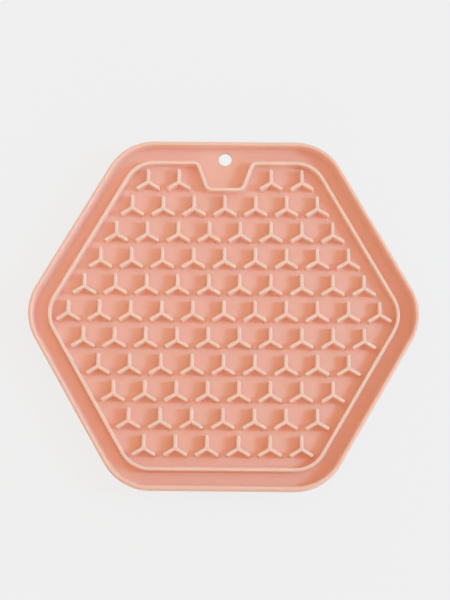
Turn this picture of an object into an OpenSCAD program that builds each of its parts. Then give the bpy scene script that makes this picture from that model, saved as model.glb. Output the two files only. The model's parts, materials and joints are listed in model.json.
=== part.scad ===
// Hexagonal silicone lick mat, lying on its suction cups.
// Origin: centre of the underside. +X runs through the two pointed sides, +Y points
// to the hanging hole and +Z is up. Every feature is a solid of its own, and the
// solids meet face to face, as the features of one moulding do.

/* [Outline] */
// Width across the flat sides
across_flats = 206; // [190:1:240]
// Radius of the six rounded corners
corner_r = 31; // [24:0.5:40]
// Thickness of the flat sheet
sheet_t = 1.8; // [1.2:0.1:4]

/* [Rim] */
// Height of the rim above the sheet
rim_h = 8.5; // [4:0.5:14]
// Thickness of the rim at its rounded top
rim_top_w = 2.2; // [1.6:0.1:3]
// Thickness of the rim where it meets the sheet
rim_root_w = 2.9; // [2.3:0.1:4]
// How far the rim's outer face leans in at its top
rim_draft = 0.3; // [0:0.1:0.8]
// Fillet at the foot of the rim's inner face
rim_fillet = 1.2; // [0.4:0.1:2]

/* [Fence] */
// Distance from the outline to the middle of the fence
fence_inset = 12.3; // [10:0.1:16]
// Height of the fence above the sheet
fence_h = 6; // [4:0.1:10]
// Thickness of the fence at its rounded top
fence_top_w = 1.9; // [1.2:0.1:2.6]
// Thickness of the fence where it meets the sheet
fence_root_w = 2.3; // [2:0.1:3.4]

/* [Tab] */
// Diameter of the hanging hole
hole_d = 7.8; // [5:0.1:10]
// Bare sheet left between the rim's fillet and the hanging hole
hole_edge_gap = 0.8; // [0.4:0.1:2]
// Width of the fence's dip at its open side
dip_top_w = 32.5; // [26:0.1:50]
// Width of the fence's dip at its bottom
dip_bottom_w = 20.8; // [14:0.1:24]
// How far the fence dips towards the middle of the mat
dip_depth = 16.2; // [12:0.1:24]
// Radius of the dip's four bends, to the middle of the fence
dip_bend_r = 3.9; // [2:0.1:5]

/* [Fins] */
// Distance between the middles of neighbouring fins
fin_pitch = 18.2; // [17:0.1:26]
// Distance from the middle of a fin to the tip of each arm
fin_reach = 8; // [5:0.1:9]
// Height of the fins above the sheet
fin_h = 5.6; // [3:0.1:10]
// Thickness of an arm at its rounded top
fin_top_w = 1.9; // [1.2:0.1:2.4]
// Thickness of an arm where it meets the sheet
fin_root_w = 2.2; // [2:0.1:3]
// Least gap between a fin and the fence
fin_gap = 2; // [1:0.1:4]

/* [Suction cups] */
// Distance between the middles of neighbouring cups
cup_pitch = 36.4; // [34:0.1:50]
// Diameter of a cup's lip
cup_d = 24; // [16:0.5:30]
// Height of a cup, from its lip to the sheet
cup_h = 5; // [3.5:0.1:8]
// Diameter of the neck that joins a cup to the sheet
cup_neck_d = 11; // [6:0.5:14]
// Height of the straight part of the neck
cup_neck_h = 1; // [0.4:0.1:1.6]
// Thickness of a cup's lip
cup_lip_t = 0.7; // [0.4:0.1:1.2]
// Flat ring under the lip that the mat stands on
cup_lip_w = 0.8; // [0.5:0.1:1.6]
// Depth of the hollow inside a cup
cup_hollow = 2.4; // [1:0.1:2.6]
// Least distance from the outline to a cup's lip
cup_edge_gap = 6; // [2:0.5:12]

/* [Hidden] */
$fn = 96;

// Heights
sheet_z = cup_h;
top_z = sheet_z + sheet_t;

// The hexagon: pointed left and right, flat at the top and bottom
sides = 6;
full_turn = 360;
half_turn = full_turn / 2;
up_angle = full_turn / 4;
side_angle = full_turn / sides;
half_side_angle = side_angle / 2;
apothem = across_flats / 2;
fence_apothem = apothem - fence_inset;
fence_corner_r = corner_r - fence_inset;
fence_face_apothem = fence_apothem - fence_root_w / 2;

// The hanging hole sits on the mat's middle line, close to the rim
hole_y = apothem - rim_root_w - rim_fillet - hole_edge_gap - hole_d / 2;
cut_overrun = 1;

// Number of flat strips that stand for a wall's rounded top, for a fillet and for
// the curve of a cup, and how far one strip of a bend turns
bead_strips = 5;
fillet_strips = 4;
cup_strips = 12;
strip_turn = 7.5;

// Fins: straight part of an arm, and rows of the triangular pattern
fin_straight = fin_reach - fin_root_w / 2;
row_share = sin(side_angle);
fin_row_pitch = fin_pitch * row_share;
fin_room = fence_face_apothem - fin_gap - fin_reach;
fin_rings = floor(fin_room / fin_row_pitch);
fin_rows = 2 * fin_rings + 1;
fin_half_w = fin_straight * row_share + fin_root_w / 2;
arms = 3;
arm_angles = [for (i = [0 : arms - 1]) up_angle + i * full_turn / arms];

// Cups: rows of the same triangular pattern, at a wider pitch
cup_row_pitch = cup_pitch * row_share;
cup_rings = floor((apothem - cup_edge_gap - cup_d / 2) / cup_row_pitch);
cup_rows = 2 * cup_rings + 1;

// A point at a distance and an angle, the direction from one point to another, a
// turn brought within half a turn, and the corners of a hexagon around the middle
function polar(r, a) = [r * cos(a), r * sin(a)];
function heading(from, to) = atan2(to[1] - from[1], to[0] - from[0]);
function wrapped(a) = a > half_turn ? a - full_turn : a < -half_turn ? a + full_turn : a;
function hexagon(a) = [for (i = [0 : sides - 1]) polar(a / cos(half_side_angle), i * side_angle)];

// Middles of the hexagonal pattern: a row has one place less for each step away
// from the middle row
function row_count(row, rings) = 2 * rings + 1 - abs(row - rings - 1);
function row_places(row, rings, pitch) =
    let (count = row_count(row, rings), step_y = (rings + 1 - row) * pitch * row_share)
    [for (i = [0 : count - 1]) [(i - (count - 1) / 2) * pitch, step_y]];

// True where a disc of this radius lies inside the hexagon with rounded corners
function in_sides(p, a, r) =
    min([for (i = [0 : sides - 1]) a - p * polar(1, (i + 1 / 2) * side_angle)]) >= r;
function in_corner(q, i, corner, r) =
    q * polar(1, i * side_angle) <= norm(q) * cos(half_side_angle) || norm(q) <= corner - r;
function in_corners(p, a, corner, r) =
    let (centres = hexagon(a - corner))
    len([for (i = [0 : sides - 1]) if (!in_corner(p - centres[i], i, corner, r)) i]) == 0;
function in_hexagon(p, a, corner, r) = in_sides(p, a, r) && in_corners(p, a, corner, r);

// True where a fin stays clear of the fence and of its dip
function tips(p) = [for (a = arm_angles) p + polar(fin_straight, a)];
function clear_of_fence(p) =
    let (corner = fence_corner_r - fence_root_w / 2, r = fin_gap + fin_root_w / 2)
    len([for (t = tips(p)) if (!in_hexagon(t, fence_face_apothem, corner, r)) t]) == 0;
function clear_of_dip(p) =
    p[1] + fin_reach + fin_gap <= fence_apothem - dip_depth - fence_root_w / 2
    || abs(p[0]) >= dip_top_w / 2 + fence_root_w / 2 + fin_gap + fin_half_w;
function fin_places(row) =
    [for (p = row_places(row, fin_rings, fin_pitch)) if (clear_of_fence(p) && clear_of_dip(p)) p];

// All suction cups in one list, from the hanging hole down and from left to right
cup_places = [for (row = [1 : cup_rows]) for (p = row_places(row, cup_rings, cup_pitch)) p];

// One side of a wall: its slope and half of the rounded top
function wall_side(h, top_w, root_w) =
    let (r = top_w / 2, step = half_turn / bead_strips, last = (bead_strips - 1) / 2)
    let (middle_z = h - r * sin(last * step))
    concat([[root_w / 2, 0]],
        [for (i = [0 : last]) [r * cos(i * step), middle_z + r * sin(i * step)]]);
function mirrored(points) = [for (i = [len(points) - 1 : -1 : 0]) [-points[i][0], points[i][1]]];
function whole_wall(side) = concat(side, mirrored(side));
function half_wall(side, h) = concat([[0, 0]], side, [[0, h]]);

// Outline of the rim: filleted foot, sloping inside, rounded top and leaning outside
function rim_outline() =
    let (r = rim_top_w / 2, step = half_turn / bead_strips, last = (bead_strips - 1) / 2)
    let (middle_z = rim_h - r * sin(last * step), turn = up_angle / fillet_strips)
    concat([for (i = [0 : fillet_strips])
            [rim_root_w + rim_fillet * (1 - sin(i * turn)), rim_fillet * (1 - cos(i * turn))]],
        [for (i = [0 : bead_strips]) [rim_draft + r + r * cos(i * step), middle_z + r * sin(i * step)]],
        [[0, 0]]);

// Outline of half a suction cup: flat lip, flared outside, neck and domed hollow
function flare(t) = [
    cup_neck_d / 2 + (cup_d - cup_neck_d) / 2 * t,
    cup_lip_t + (cup_h - cup_neck_h - cup_lip_t) * (1 - t) * (1 - t)];
function dome(t) = [(cup_d / 2 - cup_lip_w) * t, cup_hollow * (1 - t * t)];
function cup_outline() =
    concat([for (i = [0 : cup_strips]) dome(i / cup_strips)],
        [[cup_d / 2, 0]],
        [for (i = [cup_strips : -1 : 0]) flare(i / cup_strips)],
        [[cup_neck_d / 2, cup_h], [0, cup_h]]);

// Places along a closed anticlockwise path with rounded corners: each place is a
// point and the direction to the path's left there
function turn_at(path, i) =
    let (n = len(path), before = path[(i + n - 1) % n], after = path[(i + 1) % n])
    wrapped(heading(path[i], after) - heading(before, path[i]));
function bend(corner, way, turn, r) =
    let (side_r = sign(turn) * r, start = corner - polar(r * tan(abs(turn) / 2), way))
    let (middle = start + polar(side_r, way + up_angle), strips = ceil(abs(turn) / strip_turn))
    [for (k = [0 : strips]) let (left = polar(1, way + up_angle + turn * k / strips))
        [middle - side_r * left, left]];
function places(path, radii) =
    let (n = len(path))
    [for (i = [0 : n - 1])
        each bend(path[i], heading(path[(i + n - 1) % n], path[i]), turn_at(path, i), radii[i])];

// Sweeps an outline along a path. The outline's X is measured to the left of the
// path, and its Y is height.
module sweep(path, radii, outline) {
    stops = places(path, radii);
    n = len(stops);
    m = len(outline);
    polyhedron(
        points = [for (s = stops, q = outline) let (p = s[0] + s[1] * q[0]) [p[0], p[1], q[1]]],
        faces = [for (i = [0 : n - 1], j = [0 : m - 1])
            [i * m + j, i * m + (j + 1) % m, (i + 1) % n * m + (j + 1) % m, (i + 1) % n * m + j]]);
}

// The mat's outline, and the fence's path, whose top side dips round the hanging tab
outline_path = hexagon(apothem);
outline_radii = [for (i = [1 : sides]) corner_r];
fence_path = let (h = hexagon(fence_apothem)) concat([h[0], h[1]],
    [[dip_top_w / 2, fence_apothem], [dip_bottom_w / 2, fence_apothem - dip_depth]],
    [[-dip_bottom_w / 2, fence_apothem - dip_depth], [-dip_top_w / 2, fence_apothem]],
    [h[2], h[3], h[4], h[5]]);
fence_radii = concat([fence_corner_r, fence_corner_r], [for (i = [0 : 3]) dip_bend_r],
    [for (i = [2 : sides - 1]) fence_corner_r]);

module base_sheet() {
    outline = [for (s = places(outline_path, outline_radii)) s[0]];
    color("#e8a98f") translate([0, 0, sheet_z]) difference() {
        linear_extrude(sheet_t) polygon(outline);
        translate([0, hole_y, -cut_overrun]) cylinder(d = hole_d, h = sheet_t + 2 * cut_overrun);
    }
}

module outer_rim() {
    color("#edc4b0") translate([0, 0, top_z])
        sweep(outline_path, outline_radii, rim_outline());
}

module inner_fence() {
    side = wall_side(fence_h, fence_top_w, fence_root_w);
    color("#eccbb9") translate([0, 0, top_z])
        sweep(fence_path, fence_radii, whole_wall(side));
}

// One arm lies along +X: a straight wall with a round end
module fin_arm() {
    side = wall_side(fin_h, fin_top_w, fin_root_w);
    rotate([up_angle, 0, up_angle]) linear_extrude(fin_straight) polygon(whole_wall(side));
    translate([fin_straight, 0, 0]) rotate(-up_angle) rotate_extrude(angle = half_turn)
        polygon(half_wall(side, fin_h));
}

module fin() {
    for (a = arm_angles)
        rotate(a) fin_arm();
}

module fin_row(row) {
    color("#eecfc0")
        for (p = fin_places(row))
            translate([p[0], p[1], top_z]) fin();
}

module suction_cup(number) {
    color("#e3a288") translate(cup_places[number - 1])
        rotate_extrude() polygon(cup_outline());
}

function numbered(name, number) = str(name, number < 10 ? "_0" : "_", number);

base_sheet();
outer_rim();
inner_fence();
for (i = [1 : fin_rows])
    fin_row(i);
for (i = [1 : len(cup_places)])
    suction_cup(i);
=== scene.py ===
# %% [markdown]
# # A silicone lick mat
#
# The mat is one moulding of peach pink silicone. Soft food is spread between its fins, and an animal licks
# it out slowly. This lesson dresses the engineering model of the mat for a photograph: every moulded feature
# is made again with round edges and fillets, and gets a silicone finish.
#
# The engineering model comes first, because it says how big everything is. Each piece made here stands in
# for one of its nodes, so nothing has to be fitted afterwards.

# %% Load the engineering model
import json
from math import asin, atan, cos, pi, radians, sin, tan

import bmesh
import bpy
from bmesh.types import BMFace, BMVert
from mathutils import Matrix, Quaternion, Vector


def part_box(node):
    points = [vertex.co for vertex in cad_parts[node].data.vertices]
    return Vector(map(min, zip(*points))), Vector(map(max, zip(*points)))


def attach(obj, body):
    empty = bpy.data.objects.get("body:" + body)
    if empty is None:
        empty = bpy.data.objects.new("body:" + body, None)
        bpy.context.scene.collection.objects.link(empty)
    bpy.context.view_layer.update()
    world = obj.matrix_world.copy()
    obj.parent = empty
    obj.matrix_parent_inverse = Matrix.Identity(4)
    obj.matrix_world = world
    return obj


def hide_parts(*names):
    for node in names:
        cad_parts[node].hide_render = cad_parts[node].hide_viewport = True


MM = 0.001
CM = 0.01

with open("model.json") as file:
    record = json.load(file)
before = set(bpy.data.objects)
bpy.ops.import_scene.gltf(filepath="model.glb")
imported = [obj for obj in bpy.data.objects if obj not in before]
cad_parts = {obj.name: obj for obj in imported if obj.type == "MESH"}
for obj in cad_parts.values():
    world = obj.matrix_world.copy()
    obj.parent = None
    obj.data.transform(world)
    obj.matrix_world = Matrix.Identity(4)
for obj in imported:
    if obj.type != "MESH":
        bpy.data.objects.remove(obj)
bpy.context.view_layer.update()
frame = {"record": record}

# %% [markdown]
# ## Sizes
#
# Most sizes are read from the model's nodes. What a box can't tell, such as the roundness of a corner or
# the thickness of a wall, is named once, where it is first needed. Lengths are in metres, so each size of
# the mat is written in millimetres times a unit.

# %% Name the sizes
SIDES = 6
SIDE_TURN = 2 * pi / SIDES
QUARTER = pi / 2
# Points that lie closer together than this are one point
SAME_POINT = 0.001 * MM

sheet_low, sheet_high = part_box("base_sheet")
rim_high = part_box("outer_rim")[1]
fence_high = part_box("inner_fence")[1]
fin_low, fin_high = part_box("fin_row_06")
TOP_Z = sheet_high.z
# The apothem is the distance from the middle of the mat to its flat sides
APOTHEM = sheet_high.y
CORNER_R = 31 * MM
RIM_H = rim_high.z - TOP_Z
FENCE_H = fence_high.z - TOP_Z
FIN_H = fin_high.z - TOP_Z
# Pieces that stand on the sheet reach this far into it, so that no foot ends in a feather edge
SINK = 0.5 * MM
heights = [round(height / MM, 2) for height in (RIM_H, FENCE_H, FIN_H)]
print(f"Half width {APOTHEM / MM:.2f} mm, heights of rim, fence and fins", heights)

# %% [markdown]
# ## A pen for outlines
#
# All outlines of the mat are straight lines and round bends. A bevel on a corner vertex gives a bend that
# isn't quite round, so the pen spins the line's end about the middle of the bend instead. Where it goes
# straight, it extrudes that end.

# %% The pen
FEWEST_BEND_PARTS = 2


def parts_of(geometry, kind):
    """The vertices or the faces among the results of an operator."""
    return [part for part in geometry if isinstance(part, kind)]


class Pen:
    """Draws one line, straight or round, in the plane z = height."""

    def __init__(self, bm, x, y, height=0):
        self.bm = bm
        self.height = height
        self.first = bm.verts.new((x, y, height))
        self.tip = self.first

    def line(self, x, y):
        """Goes straight to a point."""
        target = Vector((x, y, self.height))
        if (target - self.tip.co).length < SAME_POINT:
            return
        grown = bmesh.ops.extrude_vert_indiv(self.bm, verts=[self.tip])
        self.tip = grown["verts"][0]
        self.tip.co = target

    def bend(self, x, y, turn, step):
        """Goes round the point x, y by an angle, anticlockwise where the angle is positive."""
        parts = max(FEWEST_BEND_PARTS, round(abs(turn) / step))
        spun = bmesh.ops.spin(
            self.bm, geom=[self.tip], cent=(x, y, self.height), axis=(0, 0, 1), dvec=(0, 0, 0), angle=turn,
            steps=parts, use_merge=False, use_normal_flip=False, use_duplicate=False)
        self.tip = parts_of(spun["geom_last"], BMVert)[0]

    def close(self):
        """Joins the end to the start."""
        if (self.tip.co - self.first.co).length < SAME_POINT:
            bmesh.ops.pointmerge(self.bm, verts=[self.tip, self.first], merge_co=self.first.co)
        else:
            self.bm.edges.new((self.tip, self.first))


def rounded(bm, corners, radii, height, step):
    """Draws a closed anticlockwise outline whose corners are rounded, and returns its edges."""
    count = len(corners)
    corners = [Vector(corner) for corner in corners]
    pen = None
    for i, (corner, radius) in enumerate(zip(corners, radii)):
        way_in = (corner - corners[i - 1]).normalized()
        way_out = (corners[(i + 1) % count] - corner).normalized()
        turn = -way_in.angle_signed(way_out)
        start = corner - radius * tan(abs(turn) / 2) * way_in
        left = Vector((-way_in.y, way_in.x)) * (radius if turn > 0 else -radius)
        if pen is None:
            pen = Pen(bm, start.x, start.y, height)
        else:
            pen.line(start.x, start.y)
        pen.bend(start.x + left.x, start.y + left.y, turn, step)
    pen.close()
    return bm.edges[:]


def hexagon(apothem):
    """Corners of a hexagon that is pointed left and right."""
    reach = apothem / cos(SIDE_TURN / 2)
    return [(reach * cos(i * SIDE_TURN), reach * sin(i * SIDE_TURN)) for i in range(SIDES)]


# %% [markdown]
# ## Walls that rise from an outline
#
# A moulded wall is the same all round: a small fillet at its foot, a slight draft so that it leaves the
# mould, and a narrow flat crest between two round edges. An inset with a depth moves a face inwards and
# upwards in one go, and it keeps the wall's thickness true in the bends, which a scaled copy wouldn't. A
# list of such steps climbs a whole wall.

# %% Climb a wall
EDGE_PARTS = 4
FOOT_PARTS = 3


def fill(bm, edges):
    """Fills a closed outline with one face that looks up."""
    face = bmesh.ops.contextual_create(bm, geom=edges)["faces"][0]
    face.normal_update()
    if face.normal.z < 0:
        face.normal_flip()
    return face


def climb(bm, face, steps):
    """Moves a face inwards and up by each step in turn, leaving a wall behind it."""
    for inward, up in steps:
        if abs(inward) < SAME_POINT:
            behind = [] if face.edges[0].is_boundary else [face]
            grown = bmesh.ops.extrude_face_region(bm, geom=[face])
            face = parts_of(grown["geom"], BMFace)[0]
            bmesh.ops.translate(bm, vec=(0, 0, up), verts=face.verts[:])
            bmesh.ops.delete(bm, geom=behind, context="FACES_ONLY")
        else:
            bmesh.ops.inset_region(bm, faces=[face], thickness=inward, depth=up, use_boundary=True,
                                   use_even_offset=True)
    return face


def edge_steps(radius, parts=EDGE_PARTS):
    """Steps over a round edge, from upright to level."""
    angles = [QUARTER * i / parts for i in range(parts + 1)]
    return [(radius * (cos(a) - cos(b)), radius * (sin(b) - sin(a))) for a, b in zip(angles, angles[1:])]


def foot_steps(fillet, parts=FOOT_PARTS):
    """Steps up a fillet, from level on the sheet to upright."""
    return [(up, inward) for inward, up in edge_steps(fillet, parts)]


def downwards(steps):
    """The same steps on the far side of a wall, from its top to its foot."""
    return [(inward, -up) for inward, up in reversed(steps)]


def crest_steps(top_w, edge_r):
    """Steps over a wall's top: a round edge, a flat crest and the other round edge."""
    edge = edge_steps(edge_r)
    return edge + [(top_w - 2 * edge_r, 0)] + downwards(edge)


# %% [markdown]
# ## From mesh to piece
#
# Every piece is finished alike. Its doubles are merged and its normals turned outwards, its faces are shaded
# smooth except where they meet at a sharp angle, it is told which body it rides on and which slot its
# finish comes from, and the node that it stands for is hidden.

# %% Finish a piece
SHARP_ANGLE = radians(38)
pieces = []


def finish_piece(bm, name, material, node):
    """Makes an object of a bmesh, dresses it, hides the node it stands for and adds it to the list of
    pieces.
    """
    bmesh.ops.remove_doubles(bm, verts=bm.verts[:], dist=SAME_POINT)
    bmesh.ops.recalc_face_normals(bm, faces=bm.faces[:])
    for face in bm.faces:
        face.smooth = True
    open_edges = sum(1 for edge in bm.edges if not edge.is_manifold)
    volume = bm.calc_volume(signed=True)
    mesh = bpy.data.meshes.new(name)
    bm.to_mesh(mesh)
    bm.free()
    mesh.set_sharp_from_angle(angle=SHARP_ANGLE)
    mesh.materials.append(material)
    piece = bpy.data.objects.new(name, mesh)
    bpy.context.scene.collection.objects.link(piece)
    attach(piece, "root")
    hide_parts(node)
    pieces.append(piece)
    print(f"{name}: {len(mesh.polygons)} faces, {volume / CM ** 3:.2f} cm3, {open_edges} open edges")


# %% [markdown]
# ## Shader maths as plain expressions
#
# A finish is easier to read as a sum than as a web of nodes. `Signal` wraps one socket and turns + - * and
# abs() into Math nodes, and `Finish.node` makes any other node: its settings first, then its sockets. The
# other methods of `Finish` are short names for nodes that are needed again and again.

# %% Signals and finishes
# A Mix node has one set of sockets for each kind of value, and these are the ones for colours
MIX_SHARE, MIX_FIRST, MIX_SECOND, MIX_RESULT = 0, 6, 7, 2


class Signal:
    """One value that varies over a surface."""

    def __init__(self, finish, socket):
        self.finish = finish
        self.socket = socket

    def __add__(self, other):
        return self.finish.maths("ADD", self, other)

    def __sub__(self, other):
        return self.finish.maths("SUBTRACT", self, other)

    def __rsub__(self, other):
        return self.finish.maths("SUBTRACT", other, self)

    def __mul__(self, other):
        return self.finish.maths("MULTIPLY", self, other)

    def __abs__(self):
        return self.finish.maths("ABSOLUTE", self, 0)

    __radd__ = __add__
    __rmul__ = __mul__


class Finish:
    """The nodes of a material, or of the world, under construction."""

    def __init__(self, owner):
        self.owner = owner
        owner.use_nodes = True
        self.tree = owner.node_tree
        self.tree.nodes.clear()

    def node(self, kind, settings, sockets, output=0):
        """Adds a node and returns one of its outputs as a signal, or nothing where it has none."""
        node = self.tree.nodes.new(kind)
        for name, value in settings.items():
            setattr(node, name, value)
        for name, value in sockets.items():
            if isinstance(value, Signal):
                self.tree.links.new(value.socket, node.inputs[name])
            else:
                node.inputs[name].default_value = value
        return Signal(self, node.outputs[output]) if node.outputs else None

    def maths(self, operation, left, right):
        """Works out one number from two."""
        return self.node("ShaderNodeMath", {"operation": operation}, {0: left, 1: right})

    def larger(self, left, right):
        """The larger one of two numbers."""
        return self.maths("MAXIMUM", left, right)

    def fade(self, signal, start, end):
        """Rises softly from 0 to 1 while a signal goes from start to end."""
        return self.node("ShaderNodeMapRange", {"interpolation_type": "SMOOTHSTEP"},
                         {"Value": signal, "From Min": start, "From Max": end}, output="Result")

    def place(self):
        """Where a point of the surface lies."""
        return self.node("ShaderNodeTexCoord", {}, {}, output="Object")

    def along(self, axis, vector):
        """One of the three numbers of a vector."""
        return self.node("ShaderNodeSeparateXYZ", {}, {"Vector": vector}, output=axis)

    def mix(self, share, first, second):
        """Goes from one colour to another while the share goes from 0 to 1."""
        return self.node("ShaderNodeMix", {"data_type": "RGBA"},
                         {MIX_SHARE: share, MIX_FIRST: first, MIX_SECOND: second}, output=MIX_RESULT)

    def surface(self, shader, kind="ShaderNodeOutputMaterial"):
        """Ends the material, or the world, with this shader."""
        self.node(kind, {}, {"Surface": shader})
        return self.owner


# %% [markdown]
# ## Colours
#
# A colour is easiest to choose as it looks on a screen, with a red, a green and a blue value up to 255.
# Shaders reckon with amounts of light instead, so a short function turns the one into the other, by the
# curve that ordinary screens have: a straight stretch for the darkest colours and a power for all others.

# %% Choose the colours
SCREEN_LEVELS = 255
DARKEST_END = 0.04045
DARKEST_SLOPE = 12.92
CURVE_SHIFT = 0.055
CURVE_POWER = 2.4


def linear(red, green, blue):
    """The light of a colour that is given by its screen values."""
    shares = [value / SCREEN_LEVELS for value in (red, green, blue)]
    return [share / DARKEST_SLOPE if share <= DARKEST_END
            else ((share + CURVE_SHIFT) / (1 + CURVE_SHIFT)) ** CURVE_POWER for share in shares] + [1]


FLOOR_COLOUR = linear(249, 194, 173)
# Painted light: the tops of the fence and the fins, and less so the rim, are painted towards this paler
# colour
PAINTED_TOP_LIGHT = linear(247, 213, 195)
BACKGROUND = linear(240, 240, 240)
print("Salmon of the mat's floor as light:", [round(share, 3) for share in FLOOR_COLOUR])

# %% [markdown]
# ## The silicone
#
# Moulded silicone is matt and lets a little light in. Subsurface scattering does that: light enters the
# rubber and leaves it close by, red light furthest. The depth stays well under the thickness of the sheet,
# because a longer one would let the light out at the back and darken the whole mat. The colour is painted
# paler with height, as painted light on the tops: it rises from a salmon floor to pale tops, less so on the
# thick rim. A weak cloudy pattern breaks up the colour, and a fine grain keeps the gloss soft.

# %% The silicone finish
SCATTER_DEPTH = 0.35 * MM
SCATTER_SHARES = (1.0, 0.5, 0.35)
LIGHT_BENDING = 1.41
ROUGHNESS = 0.5
CUP_ROUGHNESS = 0.4
# Painted light on the tops starts this far above the sheet, and the rim gets only this share of it
PAINTED_LIGHT_STARTS = 2 * MM
RIM_PAINTED_LIGHT = 0.55
CLOUD_SIZE = 22 * MM
CLOUD_DETAIL = 3.0
CLOUD_IN_TINT = 0.12
CLOUD_IN_GLOSS = 0.15
GRAIN_SIZE = 0.35 * MM
GRAIN_DETAIL = 2.0
GRAIN_IN_GLOSS = 0.1
GRAIN_DEPTH = 0.012 * MM
NOISE_MIDDLE = 0.5


def noise(finish, place, size, detail):
    """An uneven pattern of this size, between 0 and 1."""
    return finish.node("ShaderNodeTexNoise", {}, {"Vector": place, "Scale": 1 / size, "Detail": detail})


def silicone(name, top_z, painted_light_share, roughness=ROUGHNESS):
    """Silicone with painted light on its tops: paler from a little above the sheet up to the top of a wall.
    """
    finish = Finish(bpy.data.materials.new(name))
    place = finish.place()
    # Painted light: the colour is painted paler with height, towards the tops
    painted_light_mask = finish.fade(finish.along("Z", place), TOP_Z + PAINTED_LIGHT_STARTS, top_z) * painted_light_share
    grain = noise(finish, place, GRAIN_SIZE, GRAIN_DETAIL)
    clouds = noise(finish, place, CLOUD_SIZE, CLOUD_DETAIL) - NOISE_MIDDLE
    bump = finish.node("ShaderNodeBump", {}, {"Height": grain, "Distance": GRAIN_DEPTH, "Strength": 1.0})
    shader = finish.node("ShaderNodeBsdfPrincipled", {"subsurface_method": "RANDOM_WALK"}, {
        "Base Color": finish.mix(painted_light_mask + clouds * CLOUD_IN_TINT, FLOOR_COLOUR, PAINTED_TOP_LIGHT),
        "Roughness": roughness + clouds * CLOUD_IN_GLOSS + (grain - NOISE_MIDDLE) * GRAIN_IN_GLOSS,
        "Normal": bump,
        "IOR": LIGHT_BENDING,
        "Subsurface Weight": 1.0,
        "Subsurface Scale": SCATTER_DEPTH,
        "Subsurface Radius": SCATTER_SHARES,
    })
    return finish.surface(shader)


sheet_silicone = silicone("sheet_silicone", rim_high.z, painted_light_share=0)
rim_silicone = silicone("rim_silicone", rim_high.z, painted_light_share=RIM_PAINTED_LIGHT)
fence_silicone = silicone("fence_silicone", fence_high.z, painted_light_share=1)
fin_silicone = silicone("fin_silicone", fin_high.z, painted_light_share=1)
cup_silicone = silicone("cup_silicone", rim_high.z, painted_light_share=0, roughness=CUP_ROUGHNESS)
print("Finishes:", [material.name for material in bpy.data.materials])

# %% [markdown]
# ## The base sheet
#
# The sheet carries everything else. It is a flat hexagon with round corners and the hanging hole. Filling
# the outline and the hole's circle together leaves the hole open, and an extrusion gives the thickness. Only
# the lower edge and the edges of the hole are rounded, because the rim stands flush on the upper edge.

# %% Make the sheet
OUTLINE_STEP = radians(3)
# The hole and the cups have this many flat parts all round
ROUND_PARTS = 64
EDGE_BEVEL = 0.7 * MM
EDGE_BEVEL_PARTS = 4
HOLE_BEVEL = 0.3 * MM
HOLE_BEVEL_PARTS = 3
ROUND_PROFILE = 0.5
CORNER_ANGLE = radians(45)
SAME_LEVEL = 0.01 * MM
BESIDE_HOLE = 1 * MM
hole = next(mount for mount in frame["record"]["mounts"] if mount["name"] == "hanging_hole")
HOLE_AT = Vector(hole["pos_m"])
HOLE_R = hole["dims"]["r_mm"] * MM


def level_corners(bm):
    """Level edges where two faces meet at a corner."""
    return [edge for edge in bm.edges if edge.is_manifold and edge.calc_face_angle() > CORNER_ANGLE
            and abs(edge.verts[0].co.z - edge.verts[1].co.z) < SAME_LEVEL]


def near_hole(edge):
    """True for an edge of the hanging hole."""
    return (edge.verts[0].co - HOLE_AT).to_2d().length < HOLE_R + BESIDE_HOLE


def is_low(edge):
    """True for an edge on the underside of the sheet."""
    return edge.verts[0].co.z < sheet_low.z + SAME_LEVEL


def round_off(bm, edges, size, parts):
    """Rounds edges."""
    bmesh.ops.bevel(bm, geom=edges, offset=size, offset_type="OFFSET", segments=parts, profile=ROUND_PROFILE,
                    affect="EDGES", material=-1)


def base_sheet():
    """Makes the sheet with its hanging hole."""
    bm = bmesh.new()
    rounded(bm, hexagon(APOTHEM), [CORNER_R] * SIDES, sheet_low.z, OUTLINE_STEP)
    bmesh.ops.create_circle(bm, cap_ends=False, radius=HOLE_R, segments=ROUND_PARTS,
                            matrix=Matrix.Translation((HOLE_AT.x, HOLE_AT.y, sheet_low.z)))
    filled = bmesh.ops.triangle_fill(bm, use_beauty=True, use_dissolve=False, edges=bm.edges[:])
    grown = bmesh.ops.extrude_face_region(bm, geom=parts_of(filled["geom"], BMFace))
    bmesh.ops.translate(bm, vec=(0, 0, sheet_high.z - sheet_low.z), verts=parts_of(grown["geom"], BMVert))
    bmesh.ops.recalc_face_normals(bm, faces=bm.faces[:])
    round_off(bm, [edge for edge in level_corners(bm) if near_hole(edge)], HOLE_BEVEL, HOLE_BEVEL_PARTS)
    lower_edges = [edge for edge in level_corners(bm) if is_low(edge) and not near_hole(edge)]
    round_off(bm, lower_edges, EDGE_BEVEL, EDGE_BEVEL_PARTS)
    finish_piece(bm, "sheet", sheet_silicone, "base_sheet")


base_sheet()

# %% [markdown]
# ## The rim
#
# The rim is a tall wall that keeps food on the mat. Its outside rises from the sheet's edge and leans in a
# little, and its inside slopes to a wide fillet. One climb makes it: up the outside, over the crest and down
# the inside. The two faces left at the start and the end are then replaced by a bridge, which closes the
# wall from below.

# %% Make the rim
RIM_TOP_W = 2.2 * MM
RIM_ROOT_W = 2.9 * MM
RIM_DRAFT = 0.3 * MM
# The outside of the rim stands upright this far before it leans in
RIM_FOOT = 0.3 * MM
RIM_FILLET = 1.2 * MM
RIM_FILLET_PARTS = 5
RIM_EDGE_R = 0.7 * MM


def close_wall(bm, start, end):
    """Opens a climbed wall's first and last face and closes it from below."""
    rings = list(start.edges) + list(end.edges)
    bmesh.ops.delete(bm, geom=[start, end], context="FACES_ONLY")
    bmesh.ops.bridge_loops(bm, edges=rings)


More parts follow.
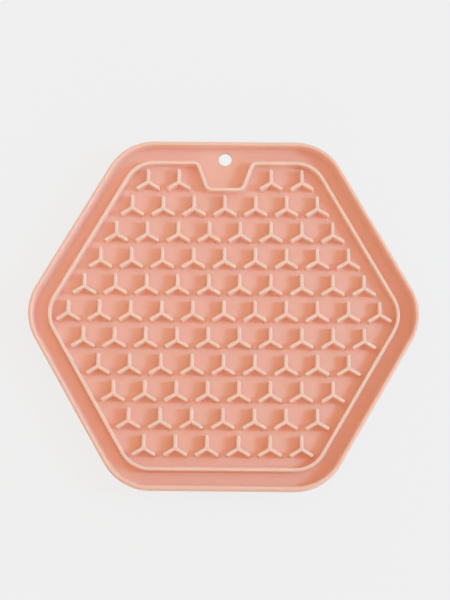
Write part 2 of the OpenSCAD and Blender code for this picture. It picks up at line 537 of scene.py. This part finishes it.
def outer_rim():
    """Makes the rim on the edge of the sheet."""
    bm = bmesh.new()
    start = fill(bm, rounded(bm, hexagon(APOTHEM), [CORNER_R] * SIDES, TOP_Z, OUTLINE_STEP))
    slope_up = RIM_H - RIM_EDGE_R - RIM_FILLET
    steps = [(0, RIM_FOOT), (RIM_DRAFT, RIM_H - RIM_FOOT - RIM_EDGE_R)]
    steps += crest_steps(RIM_TOP_W, RIM_EDGE_R)
    steps += [(RIM_ROOT_W - RIM_DRAFT - RIM_TOP_W, -slope_up)]
    steps += downwards(foot_steps(RIM_FILLET, RIM_FILLET_PARTS)) + [(0, -SINK)]
    end = climb(bm, start, steps)
    close_wall(bm, start, end)
    finish_piece(bm, "rim", rim_silicone, "outer_rim")


outer_rim()

# %% [markdown]
# ## The fence
#
# A lower wall runs round inside the rim and leaves a moat for what spills over. At the top it dips inwards
# round the bare tab with the hanging hole. Its outline is the same hexagon, smaller, with four more corners.
# Where the outline is moved outwards by half the wall, a convex bend grows by that much and a hollow bend
# shrinks.

# %% Make the fence
FENCE_TOP_W = 1.9 * MM
FENCE_ROOT_W = 2.3 * MM
FENCE_FILLET = 0.5 * MM
FENCE_EDGE_R = 0.45 * MM
FENCE_INSET = APOTHEM - fence_high.y + FENCE_ROOT_W / 2
FENCE_STEP = radians(3.75)
# Going round from the right, this many corners of the hexagon come before the dip
BEFORE_DIP = 2
DIP_TOP_W = 32.5 * MM
DIP_BOTTOM_W = 20.8 * MM
DIP_DEPTH = 16.2 * MM
DIP_BEND_R = 3.9 * MM


def fence_path(outward):
    """Corners and radii of the fence's path, moved outwards."""
    lean = atan((DIP_TOP_W - DIP_BOTTOM_W) / 2 / DIP_DEPTH)
    aside = outward * (1 / cos(lean) - tan(lean))
    top = APOTHEM - FENCE_INSET + outward
    bottom = top - DIP_DEPTH
    dip = [(DIP_TOP_W / 2 - aside, top), (DIP_BOTTOM_W / 2 - aside, bottom),
           (-DIP_BOTTOM_W / 2 + aside, bottom), (-DIP_TOP_W / 2 + aside, top)]
    outer = hexagon(top)
    corner = CORNER_R - FENCE_INSET + outward
    hollow, convex = DIP_BEND_R - outward, DIP_BEND_R + outward
    radii = [corner] * BEFORE_DIP + [convex, hollow, hollow, convex] + [corner] * (SIDES - BEFORE_DIP)
    return outer[:BEFORE_DIP] + dip + outer[BEFORE_DIP:], radii


def wall_steps(height, top_w, root_w, fillet, edge_r):
    """Steps up one side of a wall, from its foot to the start of its round edge."""
    slope_in = (root_w - top_w) / 2
    slope_up = height - edge_r - fillet
    return [(0, SINK)] + foot_steps(fillet) + [(slope_in, slope_up)]


def inner_fence():
    """Makes the fence inside the moat."""
    bm = bmesh.new()
    corners, radii = fence_path(FENCE_ROOT_W / 2 + FENCE_FILLET)
    start = fill(bm, rounded(bm, corners, radii, TOP_Z - SINK, FENCE_STEP))
    side = wall_steps(FENCE_H, FENCE_TOP_W, FENCE_ROOT_W, FENCE_FILLET, FENCE_EDGE_R)
    end = climb(bm, start, side + crest_steps(FENCE_TOP_W, FENCE_EDGE_R) + downwards(side))
    close_wall(bm, start, end)
    finish_piece(bm, "fence", fence_silicone, "inner_fence")


inner_fence()

# %% [markdown]
# ## The fins
#
# Each fin is a small letter Y: three walls that meet at the middle and end round. It is outlined once, with
# a half circle at each tip and a tight bend between the arms, and climbed like the fence. The climb stops
# after the first round edge, and the face that is left is the flat crest.

# %% Make one fin
ARMS = 3
ARM_TURN = 2 * pi / ARMS
FIN_TOP_W = 1.9 * MM
FIN_ROOT_W = 2.2 * MM
FIN_FILLET = 0.5 * MM
FIN_POCKET_R = 0.3 * MM
FIN_EDGE_R = 0.4 * MM
FIN_STEP = radians(20)
# A fin's box is one arm high above its middle and half an arm below it, with a round end on both
fin_straight = (fin_high.y - fin_low.y - FIN_ROOT_W) / (1 + cos(ARM_TURN / 2))
fin_half_w = fin_straight * sin(ARM_TURN) + FIN_ROOT_W / 2


def heading(angle):
    """A step of length one in a direction."""
    return Vector((cos(angle), sin(angle)))


def one_fin(x, y):
    """Climbs one fin with its middle at x, y."""
    bm = bmesh.new()
    middle = Vector((x, y))
    half = FIN_ROOT_W / 2 + FIN_FILLET
    corners = []
    radii = []
    for i in range(ARMS):
        along = QUARTER + i * ARM_TURN
        end = middle + heading(along) * (fin_straight + half)
        aside = heading(along + QUARTER) * half
        pocket = middle + heading(along + ARM_TURN / 2) * half / sin(ARM_TURN / 2)
        corners += [end - aside, end + aside, pocket]
        radii += [half, half, FIN_POCKET_R]
    start = fill(bm, rounded(bm, corners, radii, TOP_Z - SINK, FIN_STEP))
    side = wall_steps(FIN_H, FIN_TOP_W, FIN_ROOT_W, FIN_FILLET, FIN_EDGE_R)
    climb(bm, start, side + edge_steps(FIN_EDGE_R))
    return bm


print(f"Straight part of an arm {fin_straight / MM:.2f} mm, half width of a fin {fin_half_w / MM:.2f} mm")

# %% [markdown]
# ## Rows of fins
#
# A row is one fin and its copies. The row's box says where its outermost fins stand, and two neighbouring
# rows give the pitch of the triangular pattern. The top row leaves out the fins that would stand in the
# fence's dip.

# %% Copy the fin along its rows
FIN_ROWS = 11
fin_pitch = (fin_low.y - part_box("fin_row_07")[0].y) / sin(SIDE_TURN)


def fin_places(low, high):
    """Middles of a row's fins, along X."""
    first = low.x + fin_half_w
    count = round((high.x - low.x - 2 * fin_half_w) / fin_pitch) + 1
    places = [first + i * fin_pitch for i in range(count)]
    in_dip = high.y > APOTHEM - FENCE_INSET - DIP_DEPTH
    return [x for x in places if not in_dip or abs(x) > DIP_TOP_W / 2]


def fin_row(number):
    """Makes one row of fins."""
    node = f"fin_row_{number:02d}"
    low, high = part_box(node)
    first, *others = fin_places(low, high)
    bm = one_fin(first, high.y - fin_straight - FIN_ROOT_W / 2)
    fin_parts = bm.verts[:] + bm.edges[:] + bm.faces[:]
    for x in others:
        copied = bmesh.ops.duplicate(bm, geom=fin_parts)
        bmesh.ops.translate(bm, vec=(x - first, 0, 0), verts=parts_of(copied["geom"], BMVert))
    finish_piece(bm, f"fins_{number:02d}", fin_silicone, node)


for number in range(1, FIN_ROWS + 1):
    fin_row(number)

# %% [markdown]
# ## The suction cups
#
# The mat stands on moulded cups that grip a smooth floor. A cup is round, so it is drawn as half a section,
# flat, then stood up and spun once round. The lip is a thin half round, the outside flares out of the neck
# in one bend, and the hollow below is a shallow dome.

# %% Make the cups
CUPS = 19
CUP_NECK_R = 5.5 * MM
CUP_NECK_H = 1 * MM
CUP_NECK_FILLET = 0.5 * MM
CUP_LIP_T = 0.7 * MM
CUP_LIP_W = 0.8 * MM
CUP_HOLLOW = 2.4 * MM
DOME_STEP = radians(2.5)
FLARE_STEP = radians(6)
TIGHT_STEP = radians(30)


def arc_through(run, rise):
    """Radius and angle of the bend that starts level and ends after this run and rise."""
    radius = (run ** 2 + rise ** 2) / (2 * rise)
    return radius, asin(run / radius)


def cup_section(bm, radius, height):
    """Draws half a cup flat: X is the distance from its middle and Y is height."""
    lip_at = radius - CUP_LIP_T / 2
    dome_r, dome_turn = arc_through(radius - CUP_LIP_W, CUP_HOLLOW)
    flare_r, flare_turn = arc_through(lip_at - CUP_NECK_R, height - CUP_NECK_H - CUP_LIP_T)
    fillet_at = CUP_NECK_R + CUP_NECK_FILLET
    pen = Pen(bm, 0, CUP_HOLLOW)
    pen.bend(0, CUP_HOLLOW - dome_r, -dome_turn, DOME_STEP)
    pen.line(lip_at, 0)
    pen.bend(lip_at, CUP_LIP_T / 2, pi, TIGHT_STEP)
    pen.bend(lip_at, CUP_LIP_T + flare_r, -flare_turn, FLARE_STEP)
    pen.line(CUP_NECK_R, height - CUP_NECK_FILLET)
    pen.bend(fillet_at, height - CUP_NECK_FILLET, -QUARTER, TIGHT_STEP)
    pen.line(fillet_at, height + SINK)
    pen.line(0, height + SINK)


def suction_cup(number):
    """Makes one suction cup."""
    node = f"suction_cup_{number:02d}"
    low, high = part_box(node)
    middle = (low + high) / 2
    bm = bmesh.new()
    cup_section(bm, high.x - middle.x, high.z - low.z)
    bmesh.ops.rotate(bm, cent=(0, 0, 0), matrix=Matrix.Rotation(QUARTER, 3, "X"), verts=bm.verts[:])
    bmesh.ops.translate(bm, vec=(middle.x, middle.y, low.z), verts=bm.verts[:])
    bmesh.ops.spin(bm, geom=bm.verts[:] + bm.edges[:], cent=(middle.x, middle.y, 0), axis=(0, 0, 1),
                   dvec=(0, 0, 0), angle=2 * pi, steps=ROUND_PARTS, use_merge=True, use_normal_flip=False,
                   use_duplicate=False)
    finish_piece(bm, f"cup_{number:02d}", cup_silicone, node)


for number in range(1, CUPS + 1):
    suction_cup(number)

# %% [markdown]
# ## Where the floor looks even
#
# The mat lies on a plain pale floor, which the camera should see as the studio's even pale grey, although
# the mat takes some of its light. A share of the floor's look is therefore even light. A mask says how much:
# below the mat it sinks to nothing, so the mat stands in its own real shade on its cups. Far off it rises to
# all, so the floor and the backdrop meet without a line. What shows through the hanging hole stays pale. The
# mask is worked out from the mat's own outline, so it needs no painted picture.

# %% Work out the even share
EVEN_SHARE = 0.92
SHADE_STARTS = 1.5 * MM
SHADE_FULL = 6 * MM
FAR_STARTS = 10 * MM
FAR_FULL = 150 * MM
# The camera looks down aslant, so the floor that it sees through the hole lies this much further back
GLEAM_SHIFT = 1.1 * MM
GLEAM_IN = 0.2 * MM
GLEAM_OUT = 0.6 * MM
corner_reach = (APOTHEM - CORNER_R) / cos(SIDE_TURN / 2) + CORNER_R


def hexagon_reach(finish, place):
    """How far out a place lies, as the half width of the round-cornered hexagon that passes through it."""
    across = abs(finish.along("X", place))
    upward = abs(finish.along("Y", place))
    slanted = across * cos(SIDE_TURN / 2) + upward * sin(SIDE_TURN / 2)
    sides = finish.larger(upward, slanted)
    from_middle = finish.node("ShaderNodeVectorMath", {"operation": "LENGTH"}, {0: place}, output="Value")
    return finish.larger(sides, from_middle - (corner_reach - APOTHEM))


def even_share(finish):
    """How much of the floor's look is even light."""
    place = finish.place()
    reach = hexagon_reach(finish, place)
    clear = finish.fade(reach, APOTHEM - SHADE_FULL, APOTHEM - SHADE_STARTS)
    far = finish.fade(reach, APOTHEM + FAR_STARTS, APOTHEM + FAR_FULL)
    gleam_at = (HOLE_AT.x, HOLE_AT.y + GLEAM_SHIFT, 0)
    from_gleam = finish.node("ShaderNodeVectorMath", {"operation": "DISTANCE"}, {0: place, 1: gleam_at},
                             output="Value")
    gleam = 1 - finish.fade(from_gleam, HOLE_R - GLEAM_IN, HOLE_R + GLEAM_OUT)
    return finish.larger(clear, gleam) * EVEN_SHARE + finish.larger(far, gleam) * (1 - EVEN_SHARE)


print(f"Round corners of the mat reach {corner_reach / MM:.2f} mm from its middle")

# %% [markdown]
# ## The floor
#
# The floor has to throw light back at the mat, whatever the camera sees of it. Its finish therefore mixes
# two shaders: a plain matt surface, which takes the mat's shadow and is all that other light meets, and the
# even light, which only the camera, mirrors and glass see.

# %% Lay the floor
# Half a side of the square floor, in metres
FLOOR_REACH = 3.0


def seen_directly(finish):
    """1 for what the camera sees, also in a mirror or through glass, and 0 for all other light."""
    straight = finish.node("ShaderNodeLightPath", {}, {}, output="Is Camera Ray")
    mirrored = finish.node("ShaderNodeLightPath", {}, {}, output="Is Glossy Ray")
    through = finish.node("ShaderNodeLightPath", {}, {}, output="Is Transmission Ray")
    return finish.node("ShaderNodeClamp", {}, {"Value": straight + mirrored + through})


def studio_floor():
    """The finish of the floor."""
    finish = Finish(bpy.data.materials.new("studio_floor"))
    matt = finish.node("ShaderNodeBsdfDiffuse", {}, {"Color": BACKGROUND})
    even = finish.node("ShaderNodeEmission", {}, {"Color": BACKGROUND, "Strength": 1.0})
    share = seen_directly(finish) * even_share(finish)
    return finish.surface(finish.node("ShaderNodeMixShader", {}, {0: share, 1: matt, 2: even}))


def lay_floor():
    """Makes the floor, which isn't a part of the mat."""
    bm = bmesh.new()
    bmesh.ops.create_grid(bm, x_segments=1, y_segments=1, size=FLOOR_REACH)
    mesh = bpy.data.meshes.new("floor")
    bm.to_mesh(mesh)
    bm.free()
    mesh.materials.append(studio_floor())
    floor = bpy.data.objects.new("floor", mesh)
    bpy.context.scene.collection.objects.link(floor)


lay_floor()

# %% [markdown]
# ## Studio lamps
#
# Two cool lamps light the mat. A small low one at the right throws each fin's short crisp shadow to the
# left, and a wide panel hangs above the upper left, so its light fades towards the lower right. A lamp's
# power says little about how bright things look under it, so each lamp's colour says instead how much of a
# full white it gives a level surface in front of it. Where the small lamp is hidden, the rubber looks warmer
# and deeper, as it does in a photograph.

# %% Set the lamps
# Places, distances and sizes of the lamps are in metres
LAMP_COLOUR = (0.049, 0.192, 0.312)
LAMP_TURN = radians(1)
LAMP_RISE = radians(35)
LAMP_DISTANCE = 1.1
LAMP_HALF_WIDE = radians(3)
LAMP_HALF_TALL = radians(6)
PANEL_COLOUR = (0.08, 0.145, 0.175)
PANEL_PLACE = Vector((-0.12, 0.12, 0.3))
PANEL_SIZE = 0.25


def area_light(name, place, facing, reach, wide, tall, colour):
    """Makes a lamp whose colour is the light that it gives a level surface, this far in front of it."""
    light = bpy.data.lights.new(name, "AREA")
    light.shape = "RECTANGLE"
    light.size = wide
    light.size_y = tall
    strongest = max(colour)
    light.color = [share / strongest for share in colour]
    light.energy = strongest * pi ** 2 * reach ** 2 / facing.z
    holder = bpy.data.objects.new(name, light)
    holder.location = place
    holder.rotation_euler = facing.to_track_quat("Z", "Y").to_euler()
    holder.visible_camera = False
    bpy.context.scene.collection.objects.link(holder)
    print(f"{name} of {light.energy:.2f} W")


from_lamp = Vector((cos(LAMP_RISE) * cos(LAMP_TURN), cos(LAMP_RISE) * sin(LAMP_TURN), sin(LAMP_RISE)))
lamp_wide = 2 * LAMP_DISTANCE * tan(LAMP_HALF_WIDE)
lamp_tall = 2 * LAMP_DISTANCE * tan(LAMP_HALF_TALL)
area_light("lamp", from_lamp * LAMP_DISTANCE, from_lamp, LAMP_DISTANCE, lamp_wide, lamp_tall, LAMP_COLOUR)
area_light("panel", PANEL_PLACE, Vector((0, 0, 1)), PANEL_PLACE.z, PANEL_SIZE, PANEL_SIZE, PANEL_COLOUR)

# %% [markdown]
# ## Light from all sides
#
# Most of the light comes from all sides, so the shade between the fins stays soft. It is warm, which the
# cool lamps and a cooler glow from the right make up for: on a level surface all of them add up to a nearly
# neutral white. The world gives this light, and shows the camera the plain backdrop instead.

# %% Light the world
FILL_COLOUR = (0.745, 0.533, 0.342, 1)
RIGHT_COLOUR = (0.442, 0.54, 0.848, 1)


def studio_world():
    """The finish of the world round the mat."""
    finish = Finish(bpy.data.worlds.new("studio"))
    way = finish.node("ShaderNodeTexCoord", {}, {}, output="Generated")
    from_right = finish.larger(finish.along("X", way), 0)
    fill_light = finish.node("ShaderNodeBackground", {}, {"Color": FILL_COLOUR, "Strength": 1.0})
    right_light = finish.node("ShaderNodeBackground", {}, {"Color": RIGHT_COLOUR, "Strength": from_right})
    light = finish.node("ShaderNodeAddShader", {}, {0: fill_light, 1: right_light})
    backdrop = finish.node("ShaderNodeBackground", {}, {"Color": BACKGROUND, "Strength": 1.0})
    mixed = finish.node("ShaderNodeMixShader", {}, {0: seen_directly(finish), 1: light, 2: backdrop})
    return finish.surface(mixed, "ShaderNodeOutputWorld")


bpy.context.scene.world = studio_world()
bpy.context.scene.view_settings.view_transform = "Standard"
print("World:", bpy.context.scene.world.name)

# %% [markdown]
# ## The camera
#
# The mat is seen from almost straight above, a little from the front, and turned by a few degrees. The
# camera is aimed at a point in the mat and backs away from it along its line of sight, so the angles can be
# set one by one. The frame is 450 by 600 pixels, and the sensor's width, which is in millimetres, belongs to
# the longer side.

# %% Set the camera
SENSOR = 36.0
FRAME_TALL = 600
FOCAL_PIXELS = 1688.69
AIM = Vector((0.73 * MM, 7.79 * MM, 13.2 * MM))
CAMERA_TURN = radians(2.28)
CAMERA_RISE = radians(79.59)
CAMERA_ROLL = radians(-1.77)
CAMERA_DISTANCE = 985.3 * MM


def camera():
    """Makes the camera that sees what the photograph shows."""
    data = bpy.data.cameras.new("camera")
    data.sensor_width = SENSOR
    data.lens = FOCAL_PIXELS * SENSOR / FRAME_TALL
    back = Vector((cos(CAMERA_RISE) * sin(CAMERA_TURN), -cos(CAMERA_RISE) * cos(CAMERA_TURN),
                   sin(CAMERA_RISE)))
    aimed = (-back).to_track_quat("-Z", "Y") @ Quaternion((0, 0, 1), CAMERA_ROLL)
    holder = bpy.data.objects.new("camera", data)
    holder.location = AIM + back * CAMERA_DISTANCE
    holder.rotation_euler = aimed.to_euler()
    bpy.context.scene.collection.objects.link(holder)
    bpy.context.scene.camera = holder
    print(f"Lens {data.lens:.1f} mm at {CAMERA_DISTANCE:.3f} m")


camera()

# %% [markdown]
#
# The dressed mat has to keep to the model's box. Here its triangles are counted and printed.

# %% Count the triangles
print("Triangles:", sum(len(polygon.vertices) - 2 for piece in pieces for polygon in piece.data.polygons))
